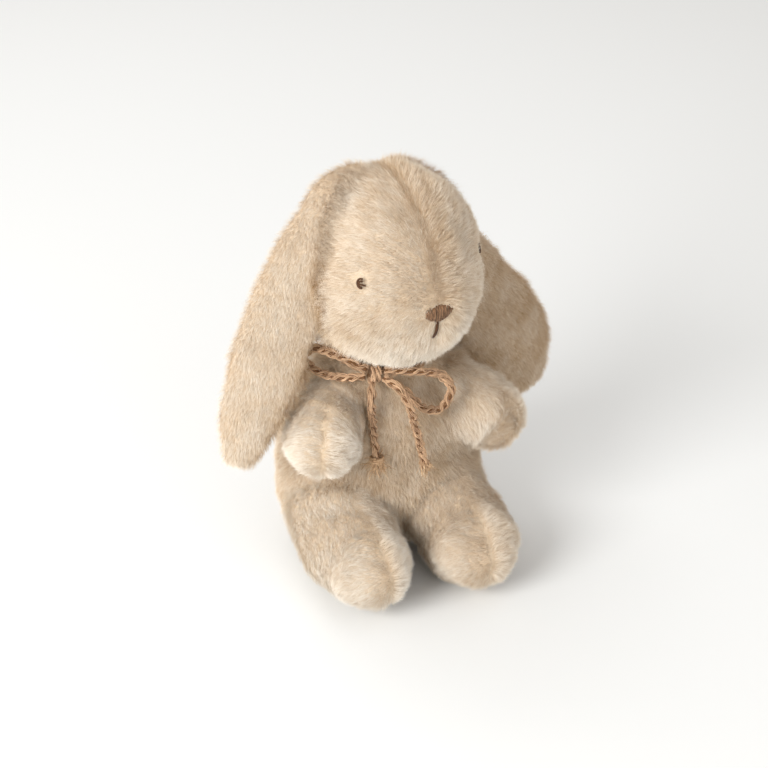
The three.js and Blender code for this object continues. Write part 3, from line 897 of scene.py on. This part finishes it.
def head_shape():
    """The head. A ridge of long pile runs up it, beside a line down its middle that is darkened
    with painted shade.
    """
    form = head_form(0.2)
    lumps = 0.5 * waves(form.points, 26, 5) + 0.25 * waves(form.points, 11, 6)
    x = form.points[:, 0].copy()
    groove = 0.45 * np.exp(-((x / 1.6) ** 2)) * (form.points[:, 2] > 84)
    form.push(lumps - groove)
    form.flat_x = x
    z = form.points[:, 2]
    away = unit(form.points - NOSE)
    side = np.sign(x)[:, None] * np.array([1.0, 0, 0])
    low = smoothstep(116, 94, z)
    back = smoothstep(-20, 10, form.points[:, 1])
    drop = (0.35 + 0.9 * low + 0.4 * back)[:, None]
    flow = away * (1 - 0.6 * low)[:, None] + np.array([0, 0, -1.0]) * drop + side * 0.4
    ridge = np.exp(-(((x - 4.5) / 4.0) ** 2)) * smoothstep(112, 124, z)
    line = np.exp(-(((x + 0.6) / 1.6) ** 2)) * smoothstep(112, 124, z)
    cheek = smoothstep(14, 24, np.abs(x)) * smoothstep(118, 104, z)
    length = PILE_LENGTH["head"] + 1.2 * ridge * smoothstep(148, 132, z) + 0.5 * low
    length += cheek * (1.2 + 2.6 * smoothstep(-14, -6, form.points[:, 1]))
    brow = np.exp(-((x / 5) ** 2) - ((z - NOSE[2] - 4.5) / 2.6) ** 2) * (form.points[:, 1] < 0)
    lean = 0.98 - 0.6 * ridge - 0.25 * line - 0.2 * cheek - 0.6 * brow
    # painted shade: the left half (x > 0), the ridge, the line down the middle and the cheeks are
    # darkened where less light falls on them
    tone = 0.56 - 0.06 * (x > 0) - 0.06 * ridge - 0.24 * line
    tone = tone + 0.12 * low * (1 - cheek) - 0.12 * cheek
    form.turned()
    flow = turn_head(flow + NECK_AXIS) - NECK_AXIS
    return groomed(form, flow, length, lean, tone, 0.12 + 0.1 * ridge)


def add_head(form):
    cover("head_backing", form, "head", ["head_fill"])
    middle = form.flat_x[form.tris].mean(axis=1)
    for name, faces in (("right", middle < 0), ("left", middle >= 0)):
        grow(f"fur_head_{name}", f"head_panel_{name}", "head", form, faces, face_room)


# the ears
EAR_DEEP = [2.6, 3.4, 3.8, 4, 4, 3.8, 3.2]
EARS = {
    "right": dict(
        spine=[[-7, 3, 150.5], [-18.5, 1, 144], [-29, -2, 129.5], [-38.5, -3, 111], [-48, -5, 91],
               [-56, -6, 72], [-61, -6.5, 56]],
        wide=[6, 8, 10, 11, 11.5, 11.5, 9.5],
        deep=EAR_DEEP,
        across=[0.92, -0.38, 0],
    ),
    "left": dict(
        spine=[[6, 4, 147.5], [16, 4, 139], [24.2, 3, 123], [34.2, 3.5, 104], [46.4, 3.5, 84],
               [58, 3.5, 64.5], [64.6, 3, 45]],
        wide=[6, 8, 11.5, 15, 17, 18, 15.5],
        deep=EAR_DEEP,
        across=[1, 0.1, 0],
    ),
}


def ear_shape(side):
    """An ear. Where it leaves the head a roll of brushed-up pile runs down its front."""
    form = lobe(**EARS[side], blunt=0.5, inset=-0.3, around=72, rows=72)
    form.push(0.35 * waves(form.points, 22, 8))
    off_head = (np.linalg.norm((form.points - HEAD_CENTRE) / HEAD_SEMI, axis=1) - 1) * 29
    share = form.share
    roll = np.exp(-(((off_head - 1.0) / 3.0) ** 2)) * (form.normal[:, 1] < 0.3)
    roll *= smoothstep(0.05, 0.15, share) * smoothstep(0.66, 0.52, share)
    rim = np.abs(np.cos(form.turn)) ** 6
    inward = 1 if side == "right" else -1
    inner = np.maximum(np.cos(form.turn) * inward, 0) ** 3
    lining = inner * (form.normal[:, 1] > -0.3)
    lining = lining * smoothstep(0.42, 0.54, share) * smoothstep(0.82, 0.7, share)
    form.push(1.8 * roll)
    form.turned()
    clear = smoothstep(3, 7, from_twine(form.points))
    form.push(1.2 * clear * inner * smoothstep(0.35, 0.5, share) * smoothstep(0.9, 0.65, share))
    outer = np.maximum(np.cos(form.turn) * -inward, 0) ** 3
    bow = 1.1 if side == "right" else -1.6
    form.push(bow * outer * smoothstep(0.08, 0.3, share) * smoothstep(0.8, 0.55, share))
    if side == "right":
        form.push(1.3 * smoothstep(0.2, 0.08, share) * smoothstep(-0.3, 0.3, form.normal[:, 2]))
    forward = np.array([0.0, -1.0, 0.0])
    flow = form.along + form.normal * (0.35 + 0.6 * rim)[:, None] + forward * (1.6 * roll)[:, None]
    flow[:, 0] += inward * (0.5 * roll + 1.5 * lining)
    length = PILE_LENGTH["ear"] + 0.3 * rim + 2.2 * roll + 4.0 * lining
    length *= 0.55 + 0.45 * smoothstep(3, 12, from_twine(form.points))
    lean = 0.95 - 0.25 * rim - 0.45 * roll
    # painted shade: the rim, the roll, the lining behind the bow loop and the right ear's inner
    # edge are darkened where shade falls; the left ear is darker all over, partly its pile's own
    # tone and partly painted shade
    tone = 0.62 - 0.1 * rim - (0.12 + 0.26 * smoothstep(0.2, 0.4, share)) * roll - 0.3 * lining
    tone -= 0.27 if side == "left" else 0.28 * inner * smoothstep(0.5, 0.62, share)
    return groomed(form, flow, length, lean, tone, 0.13 + 0.08 * roll)


def add_ear(side, form):
    cover(f"ear_{side}_backing", form, f"ear_{side}", [])
    upper = np.sin(form.turn[form.tris]).mean(axis=1) < 0
    for name, faces in (("upper", upper), ("under", ~upper)):
        grow(f"fur_ear_{side}_{name}", f"ear_{side}_{name}_panel", f"ear_{side}", form, faces)


# the limbs
LIMBS = {
    "arm_right": dict(
        spine=[[-17, -3, 69], [-23.5, -11, 67.5], [-30, -23, 63.5], [-33.5, -34.5, 58.5]],
        wide=[8, 11.5, 12.5, 13, 11.5],
        deep=[8, 11, 12, 12.5, 11],
    ),
    "arm_left": dict(
        spine=[[17, -3, 68], [24, -9, 65], [33, -16, 58], [41, -25, 50]],
        wide=[8, 11, 12, 12.5, 11],
        deep=[8, 11, 12, 12.5, 11],
    ),
    "leg_right": dict(
        spine=[[-23, 0, 20], [-24.5, -13, 20], [-20.5, -33, 17.5], [-15.5, -54, 15.5]],
        wide=[12.5, 16.5, 16.5, 15.5, 13],
        deep=[11.5, 17, 16.5, 15.5, 13],
    ),
    "leg_left": dict(
        spine=[[19, 0, 19], [20, -14, 18.5], [20.5, -33, 16.5], [22, -54, 15.5]],
        wide=[12, 15, 16.5, 17, 14.5],
        deep=[11, 14.5, 15.5, 15.5, 14],
    ),
}


def limb_shape(name):
    """An arm or a leg, whose pile fans out from the seam that runs round its tip."""
    shape = LIMBS[name]
    form = lobe(**shape, inset=0.2)
    form.push(0.5 * waves(form.points, 20, 9) + 0.2 * waves(form.points, 9, 10))
    end = np.array(shape["spine"][-1], float)
    start = np.array(shape["spine"][0], float)
    outer = np.cross(end - start, [0, 0, 1])
    outer = unit(outer * np.sign(outer[0] * start[0]))
    across = (form.points - (start + end) / 2) @ outer
    seam = np.exp(-((across / 0.9) ** 2)) * smoothstep(0.3, 0.65, form.share)
    form.push((-0.12 if name.endswith("right") else -0.05) * seam)
    form.across = across
    tip = smoothstep(0.5, 1.0, form.share)
    from_tip = unit(form.points - end)
    flow = form.along * (1 - tip)[:, None] + from_tip * (tip * 0.9)[:, None]
    flow = flow + np.array([0, 0, -0.3])
    fan = (0.5 + 1.1 * tip) * np.exp(-((across / 11.0) ** 2))
    flow = flow + (np.sign(across) * fan)[:, None] * outer
    length = PILE_LENGTH["limb"] + 0.2 * tip
    lean = 0.97 - 0.1 * tip - 0.1 * seam
    # painted light and shade: the near (right) limbs are lighter than the far (left) ones, and the
    # seam is darkened with painted shade
    tone = 0.77 - 0.1 * seam if name.endswith("right") else 0.6
    return groomed(form, flow, length, lean, tone)


def add_limb(name, form):
    cover(f"{name}_backing", form, name, [f"{name}_fill"])
    middle = form.across[form.tris].mean(axis=1)
    rooted = form.share[form.tris].mean(axis=1) > 0.06
    for side, faces in (("outer", (middle >= 0) & rooted), ("inner", (middle < 0) & rooted)):
        grow(f"fur_{name}_{side}", f"{name}_{side}_panel", name, form, faces)


# the torso
TORSO = dict(
    spine=[[0, 10, -4], [0, 8, 22], [0, 3, 52], [0, -2, 95]],
    wide=[26, 40.5, 39, 32, 26, 19],
    deep=[18, 27, 28, 25, 22, 17],
)
SHOULDER_R = 28.5
TORSO_DENSE = 0.85  # share of the usual number of strands, because the torso is large
TORSO_SEAM_Y = 3
TAIL_CENTRE = np.array([0, 38.0, 18.0])
TAIL_R = 9.5


def torso_shape():
    """The torso, domed where the head stands on it, with long pile at the back of the neck."""
    inset = 0.2
    form = lobe(**TORSO, inset=inset, around=112, rows=90)
    p = form.points
    away = p - SHOULDER_BALL
    reach = np.linalg.norm(away, axis=1)
    high = (p[:, 2] > SHOULDER_BALL[2]) & (reach > SHOULDER_R - inset)
    p[high] = SHOULDER_BALL + away[high] * ((SHOULDER_R - inset) / reach[high])[:, None]
    p[:, 2] = np.maximum(p[:, 2], 0.6)
    form.refresh()
    lumps = 0.6 * waves(p, 30, 12) + 0.3 * waves(p, 13, 13)
    form.push(lumps * (p[:, 2] > 3))
    out = unit(form.points - np.array([0, 6, 60.0]))
    flow = np.array([0, 0, -1.0]) + out * [0.6, 0.4, 0]
    seated = smoothstep(8, 2, form.points[:, 2])
    mane = smoothstep(60, 72, form.points[:, 2]) * smoothstep(-6, 4, form.points[:, 1])
    form.push(1.3 * mane)
    length = PILE_LENGTH["torso"] - 2.5 * seated + 3.2 * mane
    # painted shade: the torso's pile tone, 0.42, is darker than the head's, for the shade under the
    # head and arms
    return groomed(form, flow, length, 0.88 + 0.4 * seated - 0.35 * mane, 0.42)


def add_torso(form):
    cover("torso_backing", form, "torso", ["torso_fill", "seat_bean_pouch"])
    middle = form.points[form.tris].mean(axis=1)
    front = middle[:, 1] < TORSO_SEAM_Y
    for name, faces in (("front", front), ("back", ~front)):
        grow(f"fur_torso_{name}", f"torso_{name}_panel", "torso", form, faces, dense=TORSO_DENSE)


def tail_shape():
    spine = [TAIL_CENTRE - [0, TAIL_R, 0], TAIL_CENTRE, TAIL_CENTRE + [0, TAIL_R, 0]]
    semi = [TAIL_R] * 3
    form = lobe(spine, semi, semi, blunt=1.0, inset=1.0, around=40, rows=32)
    flow = unit(form.points - TAIL_CENTRE) + np.array([0, 0.3, -0.5])
    return groomed(form, flow, PILE_LENGTH["tail"], lean=0.5, tone=0.68, wild=0.2)


def add_tail(form):
    cover("tail_backing", form, "torso", ["tail_fill"])
    grow("fur_tail", "tail_cover", "torso", form, np.ones(len(form.tris), bool))


def add_body():
    forms = {"head": head_shape(), "torso": torso_shape(), "tail": tail_shape()}
    forms |= {f"ear_{side}": ear_shape(side) for side in EARS}
    forms |= {name: limb_shape(name) for name in LIMBS}
    meet(forms)
    add_head(forms["head"])
    for side in EARS:
        add_ear(side, forms[f"ear_{side}"])
    for name in LIMBS:
        add_limb(name, forms[name])
    add_torso(forms["torso"])
    add_tail(forms["tail"])


add_body()


# ---- the stitched face ----
NOSE_STITCHES = 30
NOSE_X = 5.0  # the outermost stitches
NOSE_SEMI = (5.35, 3.0)


def add_nose():
    """Upright satin stitches side by side, which stand proudest in the middle."""
    paths, radii = [], []
    for i in range(NOSE_STITCHES):
        x = -NOSE_X + 2 * NOSE_X * i / (NOSE_STITCHES - 1)
        reach = NOSE_SEMI[1] * (1 - (x / NOSE_SEMI[0]) ** 2) ** 0.5
        t = np.linspace(-1, 1, 9)
        lift = 0.15 + 1.5 * (1 - t**2) ** 0.5 * (0.4 + 0.6 * reach / 2.9)
        dip = 0.09 * abs(x) + 0.05 * x
        jitter = 0.2 * rng.normal()
        reach *= 1 + 0.07 * rng.normal()
        line = on_face(x + jitter * t + 0.1 * rng.normal(), NOSE[2] - 0.1 + dip + reach * t)
        line = line + unit(line - HEAD_CENTRE) * (lift - 0.7)[:, None]
        paths.append(turn_head(line))
        radii.append(0.25 + 0.04 * rng.normal())
    nose = make_tubes("nose_stitches", paths, radii, "head", STITCH)
    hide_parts("nose")


def stitch(name, node, lines, radius):
    """Thread along lines laid out on the head before it is turned, for a CAD node."""
    paths = [turn_head(curve_through(line, 0.2)) for line in lines]
    piece = make_tubes(name, paths, [radius] * len(paths), "head", STITCH_DARK)
    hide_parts(node)


def add_mouth():
    """One stitch of doubled thread, that goes in under the nose and above the chin."""
    lines = []
    for shift in (-0.22, 0.2):
        p = MOUTH.copy()
        line = on_face(p[:, 0] + shift, p[:, 2], 0.15)
        line[0] = on_face(p[0, 0] + shift * 0.4, p[0, 2] + 1.4, -0.6)
        line[-1] = on_face(p[-1, 0] + shift * 0.4, p[-1, 2] - 0.4, -0.5)
        lines.append(line)
    stitch("mouth_stitch", "mouth", lines, 0.4)


def add_eyes():
    for side in EYES:
        stitch(f"eye_{side}_stitches", f"eye_{side}", eye_lines(side), 0.36)


add_nose()
add_mouth()
add_eyes()


# ---- floor and light ----
LIGHT_AIM = Vector((0, -0.02, 0.08))
FLOOR_REACH = 3.0


def add_floor():
    material, _, shader = new_material("floor", Roughness=0.9, Specular_IOR_Level=0.1)
    shader.inputs["Base Color"].default_value = (0.92, 0.945, 0.965, 1)
    mesh = bpy.data.meshes.new("floor")
    signs = (-1, -1), (1, -1), (1, 1), (-1, 1)
    corners = [(x * FLOOR_REACH, y * FLOOR_REACH, 0) for x, y in signs]
    mesh.from_pydata(corners, [], [(0, 1, 2, 3)])
    mesh.materials.append(material)
    floor = bpy.data.objects.new("floor", mesh)
    link(floor)


def add_light(name, where, size, power, colour):
    data = bpy.data.lights.new(name, "AREA")
    data.shape = "DISK"
    data.size = size
    data.energy = power
    data.color = colour
    light = bpy.data.objects.new(name, data)
    light.location = where
    light.rotation_euler = (Vector(where) - LIGHT_AIM).to_track_quat("Z", "Y").to_euler()
    link(light)


def add_world():
    world = bpy.data.worlds.new("studio")
    world.use_nodes = True
    background = world.node_tree.nodes["Background"]
    background.inputs["Color"].default_value = (1.0, 0.955, 0.9, 1)
    background.inputs["Strength"].default_value = 0.6
    bpy.context.scene.world = world
    bpy.context.scene.view_settings.view_transform = "Standard"


add_floor()
add_world()
add_light("key", (-0.75, -0.44, 0.5), size=0.55, power=8.3, colour=(1.0, 0.985, 0.955))
add_light("fill", (0.35, -0.9, 0.6), size=0.8, power=1.0, colour=(0.95, 0.975, 1.0))
add_light("rim", (-0.1, 0.6, 0.75), size=0.6, power=1.6, colour=(1.0, 0.99, 0.97))
